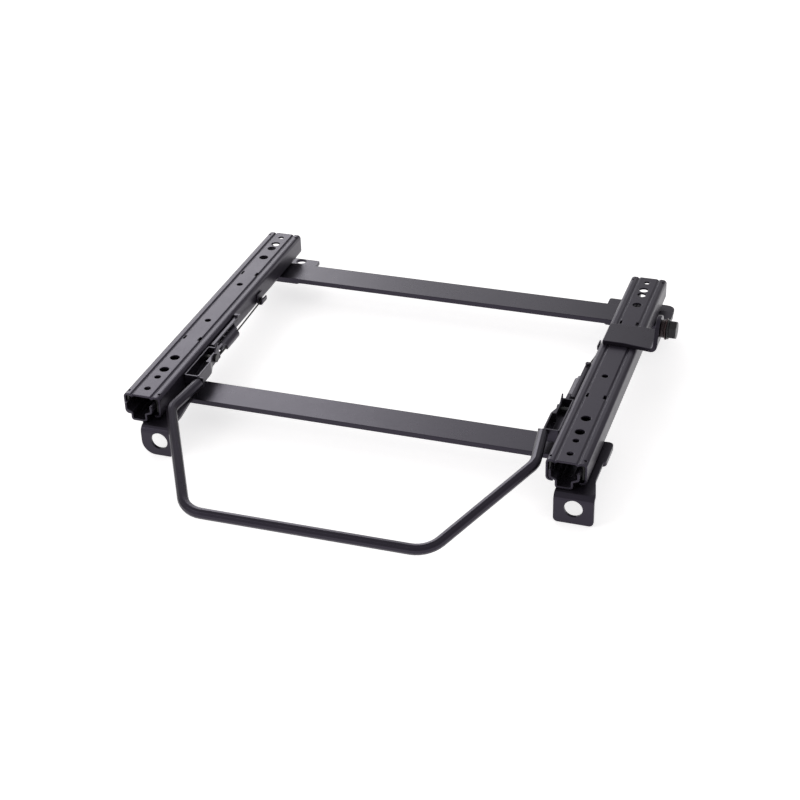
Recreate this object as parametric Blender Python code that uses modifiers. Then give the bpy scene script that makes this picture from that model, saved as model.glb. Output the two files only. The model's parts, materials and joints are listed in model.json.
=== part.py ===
"""Seat slide rail: a pair of ball-bearing slide rails on cross straps, with a lift-to-release bail handle.

Metres, +Z up, +Y towards the rear of the seat, +X to the right.
The shape is laid out in a working frame: x = 0 midway between the rails, y = 0 at the front edge of the
upper rails, z = 0 at the top of their panels.  One empty then moves everything so that the origin lies at
the bottom centre of the whole object.
The upper rails stand almost level with the lower ones, and the handle is lifted so that the lock plates
are just withdrawn.
"""

import math

import bmesh
import bpy
from mathutils import Matrix, Vector

MM = 0.001

# Rails
RAIL_SPACING = 400.0 * MM
UPPER_LENGTH = 355.0 * MM
UPPER_WIDTH = 36.5 * MM
UPPER_SHEET = 2.0 * MM
UPPER_LIP_DROP = 20.6 * MM
UPPER_LIP_REACH = 6.65 * MM
UPPER_LIP_RADIUS = 3.2 * MM
SHOULDER_RADIUS = 2.6 * MM
PANEL_WIDTH = 20.2 * MM
GROOVE_WIDTH = 4.0 * MM
GROOVE_DEPTH = 1.5 * MM
LOWER_FRONT_Y = -8.0 * MM
LOWER_BOTTOM = -22.6 * MM
LOWER_SHEET = 2.0 * MM
CHANNEL_HALF = 7.0 * MM
CHANNEL_RISE = 8.0 * MM
CHANNEL_RADIUS = 1.8 * MM
FLANGE_HALF = 12.5 * MM
FLANGE_BEND_Z = -12.2 * MM
FLANGE_TOP_Z = -5.5 * MM
FLANGE_RADIUS = 1.4 * MM

# Holes in the top panel of each upper rail: distance from the nearer end, diameter
FRONT_HOLES = (
    (13.6 * MM, 6.0 * MM),
    (35.2 * MM, 6.0 * MM),
    (49.9 * MM, 9.0 * MM),
    (73.1 * MM, 9.0 * MM),
    (150.1 * MM, 6.0 * MM),
)
REAR_HOLES = (
    (124.6 * MM, 6.0 * MM),
    (60.3 * MM, 9.0 * MM),
    (38.1 * MM, 8.5 * MM),
    (27.2 * MM, 9.0 * MM),
    (11.0 * MM, 5.5 * MM),
)
END_HOLE = 2.6 * MM
END_HOLE_INSET = 6.5 * MM
FRONT_NOTCH = 113.0 * MM
REAR_NOTCH = 99.0 * MM
NOTCH_LENGTH = 6.5 * MM
NOTCH_WIDTH = 2.6 * MM
NOTCH_OFFSET = 8.1 * MM

# Balls and retainers
BALL = 2.4 * MM
LOW_BALL = 3.0 * MM
BALL_GAP = 0.3 * MM
RETAINER_FRONT_Y = 2.0 * MM
RETAINER_LENGTH = 290.0 * MM
RETAINER_SHEET = 0.8 * MM
RETAINER_INNER = 11.4 * MM
RETAINER_STOP = 7.0 * MM
RETAINER_STOP_Z = -17.0 * MM
BALLS_PER_RETAINER = 4
LOW_BALLS_PER_SIDE = 2
LOW_BALL_FRONT_Y = 14.0 * MM
LOW_BALL_SPREAD = 200.0 * MM

# Slide and locking
SLOT_PITCH = 10.0 * MM
SLOT_LENGTH = 6.0 * MM
SLOT_TOP = -6.6 * MM
SLOT_BOTTOM = -10.8 * MM
FIRST_TOOTH = 134.5 * MM
TOOTH_COUNT = 3
TOOTH_WIDTH = 5.0 * MM
WINDOW_TOP = -5.6 * MM
WINDOW_BOTTOM = -10.9 * MM

# Cross straps
STRAP_WIDTH = 34.0 * MM
STRAP_SHEET = 5.0 * MM
STRAP_CORNER = 4.5 * MM
FRONT_STRAP_Y = 42.1 * MM
FRONT_STRAP_OVERHANG = 25.7 * MM
REAR_STRAP_INSET = 48.4 * MM
REAR_STRAP_OVERHANG = 31.0 * MM

# Feet: places across are measured outwards from the centre line of the rail
FOOT_SHEET = 3.2 * MM
FOOT_FRONT_Y = -15.5 * MM
FOOT_BEND_RADIUS = 6.5 * MM
FOOT_DROP = 51.8 * MM
FOOT_HOLE = 16.5 * MM
FOOT_HOLE_DROP = 36.5 * MM
LEFT_TAB_INNER = -32.0 * MM
LEFT_TAB_OUTER = -3.7 * MM
LEFT_TAB_HOLE = -21.5 * MM
LEFT_TAB_RADIUS = 13.0 * MM
LEFT_PLATE_INNER = -29.0 * MM
RIGHT_TAB_INNER = -7.2 * MM
RIGHT_TAB_OUTER = 28.4 * MM
RIGHT_TAB_HOLE = 10.5 * MM
RIGHT_TAB_RADIUS = 4.0 * MM
LEFT_PLATE_OUTER = 8.5 * MM
RIGHT_PLATE_OUTER = 23.4 * MM
REAR_FOOT_INNER = -39.4 * MM
REAR_FOOT_OUTER = 29.0 * MM
REAR_FOOT_STEP = 4.4 * MM
REAR_FOOT_LENGTH = 51.6 * MM
REAR_FOOT_HOLE = 11.0 * MM
REAR_FOOT_HOLE_X = -19.9 * MM
REAR_FOOT_HOLE_INSET = 5.6 * MM
REAR_FOOT_CHAMFER = 7.0 * MM

# Release handle: the ends and bends of its arms are measured inboard from the centre line of the rail
TUBE = 10.0 * MM
ARM_END_Y = 51.0 * MM
ARM_END_U = 33.6 * MM
ARM_END_Z = -9.1 * MM
ARM_BEND_Y = 2.6 * MM
ARM_BEND_U = 28.0 * MM
ARM_BEND_Z = -9.5 * MM
BAR_HALF = 110.2 * MM
BAR_Y = -108.6 * MM
BAR_Z = -37.2 * MM
ARM_BEND_RADIUS = 17.0 * MM
BAR_BEND_RADIUS = 26.0 * MM
HANDLE_TILT = math.radians(0.4)

# Latch lever: an open-topped tray behind each handle arm
LEVER_GAP = 0.5 * MM
LEVER_WIDTH = 15.0 * MM
LEVER_REAR_WIDTH = 11.5 * MM
LEVER_WELD_TAB = 4.6 * MM
LEVER_WELD_TAB_TOP = -5.0 * MM
LEVER_WELD_TAB_BOTTOM = -14.0 * MM
LEVER_SHEET = 1.5 * MM
LEVER_FRONT_Y = 52.0 * MM
LEVER_WIDE_Y = 80.0 * MM
LEVER_NARROW_Y = 91.0 * MM
LEVER_REAR_Y = 108.0 * MM
LEVER_CORNER = 1.8 * MM
LEVER_TOP_Z = -3.8 * MM
LEVER_BOTTOM_Z = -16.5 * MM
LEVER_RISE_Y = 74.0 * MM
LEVER_REAR_BOTTOM_Z = -13.6 * MM
LEVER_HORN_FRONT_Y = 96.0 * MM
LEVER_HORN_TIP_Y = 106.5 * MM
LEVER_HORN_Z = 1.6 * MM
PIVOT_Y = 98.0 * MM
PIVOT_Z = -9.6 * MM
PIVOT_PIN = 4.5 * MM
PIVOT_HEAD = 8.0 * MM
PIVOT_HEAD_DEPTH = 1.6 * MM
FINGER_INNER_U = 25.0 * MM
FINGER_OUTER_U = 28.0 * MM
FINGER_END_Y = 122.0 * MM
FINGER_DEPTH = 1.6 * MM

# Latch bracket, lock plate and hinge rod
BRACKET_SHEET = 1.5 * MM
BRACKET_FRONT_Y = 111.5 * MM
BRACKET_REAR_Y = 177.0 * MM
BRACKET_TOP_Z = -3.4 * MM
BRACKET_FLANGE = 4.0 * MM
BRACKET_BACK_DROP = 9.0 * MM
ROD = 3.0 * MM
ROD_U = 23.5 * MM
ROD_Z = -19.0 * MM
EAR_RADIUS = 2.9 * MM
EAR_TOP_U = 22.4 * MM
EAR_PLACES = (113.5 * MM, 161.5 * MM)
LOCK_SHEET = 1.6 * MM
LOCK_Z = -9.6 * MM
LOCK_TOOTH_TIP = 12.0 * MM
LOCK_BODY_EDGE = 20.6 * MM
LOCK_TAIL_EDGE = 27.0 * MM
LOCK_EAR_SHEET = 1.8 * MM
LOCK_MARGIN = 1.5 * MM
LOCK_ANGLE = math.radians(14.4)
COVER_FRONT_Y = 127.0 * MM
COVER_REAR_Y = 156.0 * MM
COVER_START_U = 24.5 * MM
COVER_RADIUS = 3.6 * MM
COVER_DROP = 5.0 * MM
RIVET = 4.0 * MM
RIVET_Y = 171.0 * MM

# Return spring and its hook
WIRE = 1.6 * MM
WIRE_U = 26.0 * MM
WIRE_Z = -13.3 * MM
WIRE_END_Y = 141.0 * MM
WIRE_TURN_Y = 166.0 * MM
HOOK_Y = 234.0 * MM
HOOK_LENGTH = 12.0 * MM
HOOK_SHEET = 1.6 * MM
HOOK_PLAY = 0.8 * MM
HOOK_TOP_Z = -9.0 * MM
HOOK_FLOOR_Z = -19.0 * MM
HOOK_LIP_Z = -14.0 * MM

# Seat belt bracket on the right rail
BELT_SHEET = 4.0 * MM
BELT_INNER_X = 184.5 * MM
BELT_OUTER_X = 237.0 * MM
BELT_FRONT_Y = 204.0 * MM
BELT_REAR_Y = 243.5 * MM
BELT_STEP_X = 204.0 * MM
BELT_STEP = 4.0 * MM
BELT_BEND_RADIUS = 6.0 * MM
BELT_EAR_TOP = 29.0 * MM
BELT_BOLT_Y = 223.5 * MM
BELT_BOLT_Z = 16.6 * MM
BELT_BOLT = 10.0 * MM
BELT_EAR_ROUND = 13.0 * MM
COLLAR_OUTER = 17.6 * MM
COLLAR_LENGTH = 3.6 * MM
WAVE_WASHER = 20.4 * MM
WAVE_WASHER_SHEET = 1.0 * MM
WAVE_HEIGHT = 0.35 * MM
PLAIN_WASHER = 19.0 * MM
PLAIN_WASHER_SHEET = 1.5 * MM
HEX_ACROSS_FLATS = 16.0 * MM
HEX_HEIGHT = 7.0 * MM

# Fits and mesh fineness
CLEARANCE = 0.3 * MM
CORNER_STEPS = 4
HOLE_SIDES = 20
TUBE_FINENESS = 4
WIRE_FINENESS = 2
BEND_STEPS = 7
BALL_SIDES = 8
BALL_RINGS = 5
EXTRA = 5.0 * MM

HALF_SPACING = RAIL_SPACING / 2
UPPER_HALF = UPPER_WIDTH / 2
LOWER_LENGTH = UPPER_LENGTH
LOWER_REAR_Y = LOWER_FRONT_Y + LOWER_LENGTH
WALL_INNER = UPPER_HALF - UPPER_SHEET
STRAP_TOP = LOWER_BOTTOM - CLEARANCE
REAR_STRAP_Y = LOWER_REAR_Y - REAR_STRAP_INSET
FRONT_STRAP_LENGTH = RAIL_SPACING + 2 * FRONT_STRAP_OVERHANG
REAR_STRAP_LENGTH = RAIL_SPACING + 2 * REAR_STRAP_OVERHANG
REAR_FOOT_TOP = STRAP_TOP - STRAP_SHEET - CLEARANCE
REAR_FOOT_FRONT_Y = REAR_STRAP_Y + REAR_FOOT_STEP
REAR_FOOT_REAR_Y = REAR_FOOT_FRONT_Y + REAR_FOOT_LENGTH
REAR_FOOT_HOLE_Y = REAR_FOOT_REAR_Y - REAR_FOOT_HOLE_INSET
LEVER_INNER_U = UPPER_HALF + LEVER_GAP
LEVER_OUTER_U = LEVER_INNER_U + LEVER_WIDTH
LEVER_REAR_U = LEVER_INNER_U + LEVER_REAR_WIDTH
BALL_Z = -UPPER_SHEET - BALL_GAP - BALL / 2
BALL_U = WALL_INNER - BALL_GAP - BALL / 2
LOW_BALL_Z = -UPPER_LIP_DROP + UPPER_SHEET / 2 + BALL_GAP + LOW_BALL / 2
LOW_BALL_U = WALL_INNER - BALL_GAP - LOW_BALL / 2
BELT_EAR_X = BELT_OUTER_X - BELT_SHEET
BELT_PLATE_Z = CLEARANCE + BELT_SHEET / 2
STACK_LENGTH = (
    COLLAR_LENGTH + WAVE_WASHER_SHEET + 2 * WAVE_HEIGHT + PLAIN_WASHER_SHEET + 3 * CLEARANCE
)
HEX_START_X = BELT_OUTER_X + STACK_LENGTH + CLEARANCE

LEFT = -1
RIGHT = 1
SIDE_NAMES = {LEFT: "left", RIGHT: "right"}

# The origin of the object: bottom centre of its box
BOX_LEFT = -REAR_STRAP_LENGTH / 2
BOX_RIGHT = HEX_START_X + HEX_HEIGHT
BOX_FRONT = BAR_Y - TUBE / 2
BOX_REAR = max(UPPER_LENGTH, REAR_FOOT_REAR_Y)
BOX_BOTTOM = -FOOT_DROP
ORIGIN = Vector(((BOX_LEFT + BOX_RIGHT) / 2, (BOX_FRONT + BOX_REAR) / 2, BOX_BOTTOM))


def clear_scene():
    for old in list(bpy.context.scene.objects):
        bpy.data.objects.remove(old, do_unlink=True)


def new_collection(name):
    collection = bpy.data.collections.new(name)
    bpy.context.scene.collection.children.link(collection)
    return collection


def paint(name, colour, roughness, metallic=0.0):
    material = bpy.data.materials.new(name)
    material.use_nodes = True
    shader = material.node_tree.nodes["Principled BSDF"]
    shader.inputs["Base Color"].default_value = (*colour, 1.0)
    shader.inputs["Roughness"].default_value = roughness
    shader.inputs["Metallic"].default_value = metallic
    material.diffuse_color = (*colour, 1.0)
    return material


clear_scene()
PARTS = new_collection("seat_slide_rail")
CUTTERS = new_collection("cutters")
FRAME = bpy.data.objects.new("rail_frame", None)
PARTS.objects.link(FRAME)
FRAME.location = -ORIGIN


def add_pivot(name, place):
    """An empty on the axis of a joint."""
    pivot = bpy.data.objects.new(name, None)
    PARTS.objects.link(pivot)
    pivot.parent = FRAME
    pivot.location = place
    return pivot


BAIL_AXIS = add_pivot("bail_axis", (0.0, PIVOT_Y, PIVOT_Z))

BLACK_PAINT = (0.030, 0.030, 0.034)
RAIL_PAINT = (0.045, 0.044, 0.050)
WIRE_COLOUR = (0.050, 0.048, 0.046)
STEEL_COLOUR = (0.550, 0.560, 0.570)
NYLON_COLOUR = (0.700, 0.690, 0.640)


def finish(name, finish_kind):
    """Each sub-part has a material of its own, in one of the finishes of the real object."""
    finishes = {
        "rail": (RAIL_PAINT, 0.38, 0.0),
        "paint": (BLACK_PAINT, 0.36, 0.0),
        "wire": (WIRE_COLOUR, 0.45, 0.4),
        "fastener": (BLACK_PAINT, 0.42, 0.6),
        "steel": (STEEL_COLOUR, 0.22, 1.0),
        "nylon": (NYLON_COLOUR, 0.55, 0.0),
    }
    colour, roughness, metallic = finishes[finish_kind]
    return paint(name + "_finish", colour, roughness, metallic)


def add_part(name, mesh, finish_kind, smooth=False):
    part = bpy.data.objects.new(name, mesh)
    PARTS.objects.link(part)
    part.parent = FRAME
    mesh.materials.append(finish(name, finish_kind))
    if smooth:
        mesh.shade_smooth()
        mesh.set_sharp_from_angle(angle=math.radians(35.0))
    return part


def add_guide(name, mesh):
    guide = bpy.data.objects.new(name, mesh)
    CUTTERS.objects.link(guide)
    guide.parent = FRAME
    guide.hide_render = True
    guide.display_type = "WIRE"
    return guide


def boolean(part, guide, operation):
    modifier = part.modifiers.new(operation.lower() + "_" + guide.name, "BOOLEAN")
    modifier.operation = operation
    modifier.solver = "EXACT"
    modifier.object = guide
    return modifier


def cut(part, *meshes):
    for index, mesh in enumerate(meshes):
        boolean(part, add_guide(f"{part.name}_cut_{index}", mesh), "DIFFERENCE")


def join(part, *meshes):
    for index, mesh in enumerate(meshes):
        boolean(part, add_guide(f"{part.name}_joined_{index}", mesh), "UNION")


def mesh_from(bm, name):
    bmesh.ops.remove_doubles(bm, verts=bm.verts, dist=0.00001)
    bmesh.ops.recalc_face_normals(bm, faces=bm.faces)
    mesh = bpy.data.meshes.new(name)
    bm.to_mesh(mesh)
    bm.free()
    return mesh


def merged(name, *meshes):
    """Several separate solids in one mesh, for use as a cutter."""
    bm = bmesh.new()
    for mesh in meshes:
        bm.from_mesh(mesh)
    return mesh_from(bm, name)


def box_mesh(low, high):
    low = Vector(low)
    high = Vector(high)
    size = high - low
    bm = bmesh.new()
    place = Matrix.Translation((low + high) / 2) @ Matrix.Diagonal((*size, 1.0))
    bmesh.ops.create_cube(bm, size=1.0, matrix=place)
    return mesh_from(bm, "box")


AXIS_TURNS = {
    "X": Matrix.Rotation(math.radians(90.0), 4, "Y"),
    "Y": Matrix.Rotation(math.radians(-90.0), 4, "X"),
    "Z": Matrix.Identity(4),
}


def cylinder_mesh(centre, axis, diameter, length, sides=HOLE_SIDES, turn=0.0):
    bm = bmesh.new()
    place = Matrix.Translation(centre) @ AXIS_TURNS[axis] @ Matrix.Rotation(turn, 4, "Z")
    bmesh.ops.create_cone(
        bm,
        cap_ends=True,
        segments=sides,
        radius1=diameter / 2,
        radius2=diameter / 2,
        depth=length,
        matrix=place,
    )
    return mesh_from(bm, "cylinder")


def ring_mesh(centre, axis, outer, inner, length, wave=0.0):
    """A ring turned about its axis; a wave bends it gently out of its plane twice in a turn."""
    bm = bmesh.new()
    rows = []
    for step in range(HOLE_SIDES):
        angle = 2 * math.pi * step / HOLE_SIDES
        lift = wave * math.cos(2 * angle)
        corners = ((inner, -1), (outer, -1), (outer, 1), (inner, 1))
        row = [
            bm.verts.new(
                (
                    diameter / 2 * math.cos(angle),
                    diameter / 2 * math.sin(angle),
                    end * length / 2 + lift,
                )
            )
            for diameter, end in corners
        ]
        rows.append(row)
    for row, after in zip(rows, rows[1:] + rows[:1]):
        for corner in range(4):
            following = (corner + 1) % 4
            bm.faces.new((row[corner], row[following], after[following], after[corner]))
    bm.transform(Matrix.Translation(centre) @ AXIS_TURNS[axis])
    return mesh_from(bm, "ring")


def rounded_path(points, radii, steps=CORNER_STEPS):
    """An open path with each inner corner replaced by an arc of its radius."""
    path = [Vector(points[0])]
    for index in range(1, len(points) - 1):
        corner = Vector(points[index])
        back = (Vector(points[index - 1]) - corner).normalized()
        ahead = (Vector(points[index + 1]) - corner).normalized()
        radius = radii[index - 1]
        half = back.angle(ahead) / 2
        if radius <= 0.0:
            path.append(corner)
            continue
        reach = radius / math.tan(half)
        centre = corner + (back + ahead).normalized() * (radius / math.sin(half))
        first = corner + back * reach - centre
        last = corner + ahead * reach - centre
        sweep = first.angle(last)
        for step in range(steps + 1):
            share = step / steps
            weight_first = math.sin((1 - share) * sweep) / math.sin(sweep)
            weight_last = math.sin(share * sweep) / math.sin(sweep)
            path.append(centre + first * weight_first + last * weight_last)
    path.append(Vector(points[-1]))
    return path


def mirrored_section(half):
    """Both halves of a section whose first point lies on the centre line."""
    return [(-x, z) for x, z in reversed(half[1:])] + [tuple(point) for point in half]


def sheet_mesh(section, front, rear, centre_x):
    """An open surface: a section in x and z drawn out along y."""
    bm = bmesh.new()
    rows = []
    for y in (front, rear):
        rows.append([bm.verts.new((centre_x + x, y, z)) for x, z in section])
    for index in range(len(section) - 1):
        bm.faces.new((rows[0][index], rows[0][index + 1], rows[1][index + 1], rows[1][index]))
    mesh = bpy.data.meshes.new("sheet")
    bm.to_mesh(mesh)
    bm.free()
    return mesh


def ribbon_mesh(stations, width_axis):
    """An open bent strip.  Each station is (low edge, high edge, position on the two other axes)."""
    bm = bmesh.new()
    rows = []
    for low, high, (first, second) in stations:
        row = []
        for edge in (low, high):
            point = (edge, first, second) if width_axis == "X" else (first, edge, second)
            row.append(bm.verts.new(point))
        rows.append(row)
    for row, after in zip(rows, rows[1:]):
        bm.faces.new((row[0], row[1], after[1], after[0]))
    mesh = bpy.data.meshes.new("ribbon")
    bm.to_mesh(mesh)
    bm.free()
    return mesh


def thicken(part, thickness):
    """Gives an open surface its sheet thickness, half to each side."""
    solidify = part.modifiers.new("sheet", "SOLIDIFY")
    solidify.thickness = thickness
    solidify.offset = 0.0
    solidify.use_even_offset = True


def rounded_outline(corners, radii, steps=CORNER_STEPS):
    """A closed outline with rounded corners."""
    count = len(corners)
    outline = []
    for index in range(count):
        before = corners[index - 1]
        after = corners[(index + 1) % count]
        arc = rounded_path((before, corners[index], after), (radii[index],), steps)
        outline.extend(arc[1:-1])
    return outline


def plate_mesh(outlines, thickness, plane, offset):
    """A flat plate from a filled outline, with further outlines as holes.

    The plane names the two axes of the outline; the offset is the middle of the thickness.
    """
    curve = bpy.data.curves.new("outline", "CURVE")
    curve.dimensions = "2D"
    curve.fill_mode = "BOTH"
    curve.extrude = thickness / 2
    for outline in outlines:
        spline = curve.splines.new("POLY")
        spline.points.add(len(outline) - 1)
        for point, (first, second) in zip(spline.points, outline):
            point.co = (first, second, 0.0, 1.0)
        spline.use_cyclic_u = True
    holder = bpy.data.objects.new("outline", curve)
    bpy.context.scene.collection.objects.link(holder)
    bpy.context.view_layer.update()
    evaluated = holder.evaluated_get(bpy.context.evaluated_depsgraph_get())
    mesh = bpy.data.meshes.new_from_object(evaluated)
    bpy.data.objects.remove(holder, do_unlink=True)
    columns = {
        "XY": ((1, 0, 0), (0, 1, 0), (0, 0, 1)),
        "XZ": ((1, 0, 0), (0, 0, 1), (0, -1, 0)),
        "YZ": ((0, 1, 0), (0, 0, 1), (1, 0, 0)),
    }[plane]
    turn = Matrix(columns).transposed().to_4x4()
    normal = Vector(columns[2])
    axis_of_offset = Vector([abs(value) for value in normal])
    mesh.transform(Matrix.Translation(axis_of_offset * offset) @ turn)
    bm = bmesh.new()
    bm.from_mesh(mesh)
    return mesh_from(bm, "plate")


def circle(centre, diameter, sides=HOLE_SIDES):
    return [
        (
            centre[0] + diameter / 2 * math.cos(2 * math.pi * step / sides),
            centre[1] + diameter / 2 * math.sin(2 * math.pi * step / sides),
        )
        for step in range(sides)
    ]


def inboard(side, u):
    """World x of a place that lies u inboard of the centre line of a rail."""
    return side * (HALF_SPACING - u)


def u_box(side, u_range, y_range, z_range):
    xs = sorted((inboard(side, u_range[0]), inboard(side, u_range[1])))
    return box_mesh((xs[0], y_range[0], z_range[0]), (xs[1], y_range[1], z_range[1]))


def upper_section():
    wall = UPPER_HALF - UPPER_SHEET / 2
    top = -UPPER_SHEET / 2
    groove = PANEL_WIDTH / 2
    half = rounded_path(
        (
            (0.0, top),
            (groove - GROOVE_WIDTH / 2, top),
            (groove, top - GROOVE_DEPTH),
            (groove + GROOVE_WIDTH / 2, top),
            (wall, top),
            (wall, -UPPER_LIP_DROP),
            (wall - UPPER_LIP_REACH + UPPER_SHEET / 2, -UPPER_LIP_DROP),
        ),
        (0.0, 0.0, 0.0, SHOULDER_RADIUS, UPPER_LIP_RADIUS),
    )
    return mirrored_section([tuple(point) for point in half])


def lower_section():
    bottom = LOWER_BOTTOM + LOWER_SHEET / 2
    half = rounded_path(
        (
            (0.0, bottom),
            (CHANNEL_HALF, bottom),
            (CHANNEL_HALF, LOWER_BOTTOM + CHANNEL_RISE),
            (FLANGE_HALF, FLANGE_BEND_Z),
            (FLANGE_HALF, FLANGE_TOP_Z),
        ),
        (CHANNEL_RADIUS, FLANGE_RADIUS, FLANGE_RADIUS),
    )
    return mirrored_section([tuple(point) for point in half])


def tooth_places():
    return [FIRST_TOOTH + index * SLOT_PITCH for index in range(TOOTH_COUNT)]


def slot_places():
    """Slots on the pitch of the teeth, along the whole of the lower rail."""
    front = LOWER_FRONT_Y + SLOT_PITCH
    rear = LOWER_REAR_Y - SLOT_PITCH
    first = FIRST_TOOTH - math.floor((FIRST_TOOTH - front) / SLOT_PITCH) * SLOT_PITCH
    count = math.floor((rear - first) / SLOT_PITCH) + 1
    return [first + index * SLOT_PITCH for index in range(count)]


def make_upper_rail(side):
    centre = side * HALF_SPACING
    rail = add_part(
        f"upper_rail_{SIDE_NAMES[side]}",
        sheet_mesh(upper_section(), 0.0, UPPER_LENGTH, centre),
        "rail",
        smooth=True,
    )
    thicken(rail, UPPER_SHEET)
    through = 4 * UPPER_SHEET
    places = list(FRONT_HOLES) + [(UPPER_LENGTH - back, size) for back, size in REAR_HOLES]
    holes = [cylinder_mesh((centre, y, 0.0), "Z", size, through) for y, size in places]
    shoulder = (PANEL_WIDTH / 2 + GROOVE_WIDTH / 2 + UPPER_HALF) / 2
    for across in (-shoulder, shoulder):
        for along in (END_HOLE_INSET, UPPER_LENGTH - END_HOLE_INSET):
            place = (centre + across, along, 0.0)
            holes.append(cylinder_mesh(place, "Z", END_HOLE, through, HOLE_SIDES // 2))
    for across in (-NOTCH_OFFSET, NOTCH_OFFSET):
        for along in (FRONT_NOTCH, UPPER_LENGTH - REAR_NOTCH):
            low = (centre + across - NOTCH_WIDTH / 2, along - NOTCH_LENGTH / 2, -through / 2)
            high = (centre + across + NOTCH_WIDTH / 2, along + NOTCH_LENGTH / 2, through / 2)
            holes.append(box_mesh(low, high))
    windows = [
        u_box(
            side,
            (WALL_INNER - UPPER_SHEET, UPPER_HALF + UPPER_SHEET),
            (y - SLOT_LENGTH / 2, y + SLOT_LENGTH / 2),
            (WINDOW_BOTTOM, WINDOW_TOP),
        )
        for y in tooth_places()
    ]
    pin_hole = cylinder_mesh(
        (inboard(side, UPPER_HALF), PIVOT_Y, PIVOT_Z),
        "X",
        PIVOT_PIN + 2 * CLEARANCE,
        4 * UPPER_SHEET,
    )
    cut(rail, merged("rail_holes", *holes), merged("rail_windows", *windows, pin_hole))
    return rail


def make_lower_rail(side):
    rail = add_part(
        f"lower_rail_{SIDE_NAMES[side]}",
        sheet_mesh(
            lower_section(),
            LOWER_FRONT_Y,
            LOWER_REAR_Y,
            side * HALF_SPACING,
        ),
        "paint",
        smooth=True,
    )
    thicken(rail, LOWER_SHEET)
    slots = [
        u_box(
            side,
            (FLANGE_HALF - LOWER_SHEET, FLANGE_HALF + LOWER_SHEET),
            (y - SLOT_LENGTH / 2, y + SLOT_LENGTH / 2),
            (SLOT_BOTTOM, SLOT_TOP),
        )
        for y in slot_places()
    ]
    cut(rail, merged("lock_slots", *slots))
    return rail


def spread(count, first, last):
    """Evenly spread places."""
    return [first + (last - first) * index / (count - 1) for index in range(count)]


def make_ball(name, x, y, z, diameter):
    bm = bmesh.new()
    bmesh.ops.create_uvsphere(bm, u_segments=BALL_SIDES, v_segments=BALL_RINGS, radius=diameter / 2)
    ball = add_part(name, mesh_from(bm, name), "steel", smooth=True)
    ball.location = (x, y, z)
    return ball


def make_retainer(side, across_name, direction):
    """A nylon strip that spaces one row of balls, with a stop at its front and a low row below it."""
    name = f"{SIDE_NAMES[side]}_{across_name}"
    centre = side * HALF_SPACING
    front = RETAINER_FRONT_Y
    rear = RETAINER_FRONT_Y + RETAINER_LENGTH
    top = BALL_Z + RETAINER_SHEET / 2
    outer = WALL_INNER - 2 * CLEARANCE
    flange = FLANGE_HALF + LOWER_SHEET / 2 + CLEARANCE
    xs = sorted((centre + direction * RETAINER_INNER, centre + direction * outer))
    stop_xs = sorted((centre + direction * flange, centre + direction * outer))
    retainer = add_part(
        f"ball_retainer_{name}",
        box_mesh((xs[0], front, top - RETAINER_SHEET), (xs[1], rear, top)),
        "nylon",
    )
    stop = box_mesh(
        (stop_xs[0], front, RETAINER_STOP_Z),
        (stop_xs[1], front + RETAINER_STOP, top - RETAINER_SHEET / 2),
    )
    ball_x = centre + direction * BALL_U
    row = spread(BALLS_PER_RETAINER, front + RETAINER_STOP + BALL, rear - BALL)
    pocket = BALL + 2 * CLEARANCE
    pockets = [
        cylinder_mesh((ball_x, y, BALL_Z), "Z", pocket, 4 * RETAINER_SHEET, HOLE_SIDES // 2)
        for y in row
    ]
    join(retainer, stop)
    cut(retainer, merged("pockets", *pockets))
    for index, y in enumerate(row):
        make_ball(f"ball_{name}_{index + 1}", ball_x, y, BALL_Z, BALL)
    low_x = centre + direction * LOW_BALL_U
    low_row = spread(LOW_BALLS_PER_SIDE, LOW_BALL_FRONT_Y, LOW_BALL_FRONT_Y + LOW_BALL_SPREAD)
    for index, y in enumerate(low_row):
        make_ball(f"low_ball_{name}_{index + 1}", low_x, y, LOW_BALL_Z, LOW_BALL)


def add_wire(name, path, diameter, fineness, finish_kind):
    """A round bar along a path."""
    curve = bpy.data.curves.new(name, "CURVE")
    curve.dimensions = "3D"
    curve.bevel_depth = diameter / 2
    curve.bevel_resolution = fineness
    curve.use_fill_caps = True
    spline = curve.splines.new("POLY")
    spline.points.add(len(path) - 1)
    for point, place in zip(spline.points, path):
        point.co = (*place, 1.0)
    curve.materials.append(finish(name, finish_kind))
    wire = bpy.data.objects.new(name, curve)
    PARTS.objects.link(wire)
    wire.parent = FRAME
    return wire


def make_strap(name, front, length):
    half = length / 2
    corners = (
        (-half, front),
        (half, front),
        (half, front + STRAP_WIDTH),
        (-half, front + STRAP_WIDTH),
    )
    outline = rounded_outline(corners, (STRAP_CORNER,) * 4)
    level = STRAP_TOP - STRAP_SHEET / 2
    add_part(name, plate_mesh([outline], STRAP_SHEET, "XY", level), "paint")


def corner_inset(from_end, radius):
    """How far a rounded corner has drawn an edge in, at a distance from the end of a strip."""
    if from_end >= radius:
        return 0.0
    return radius - math.sqrt(radius ** 2 - (radius - from_end) ** 2)


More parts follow.
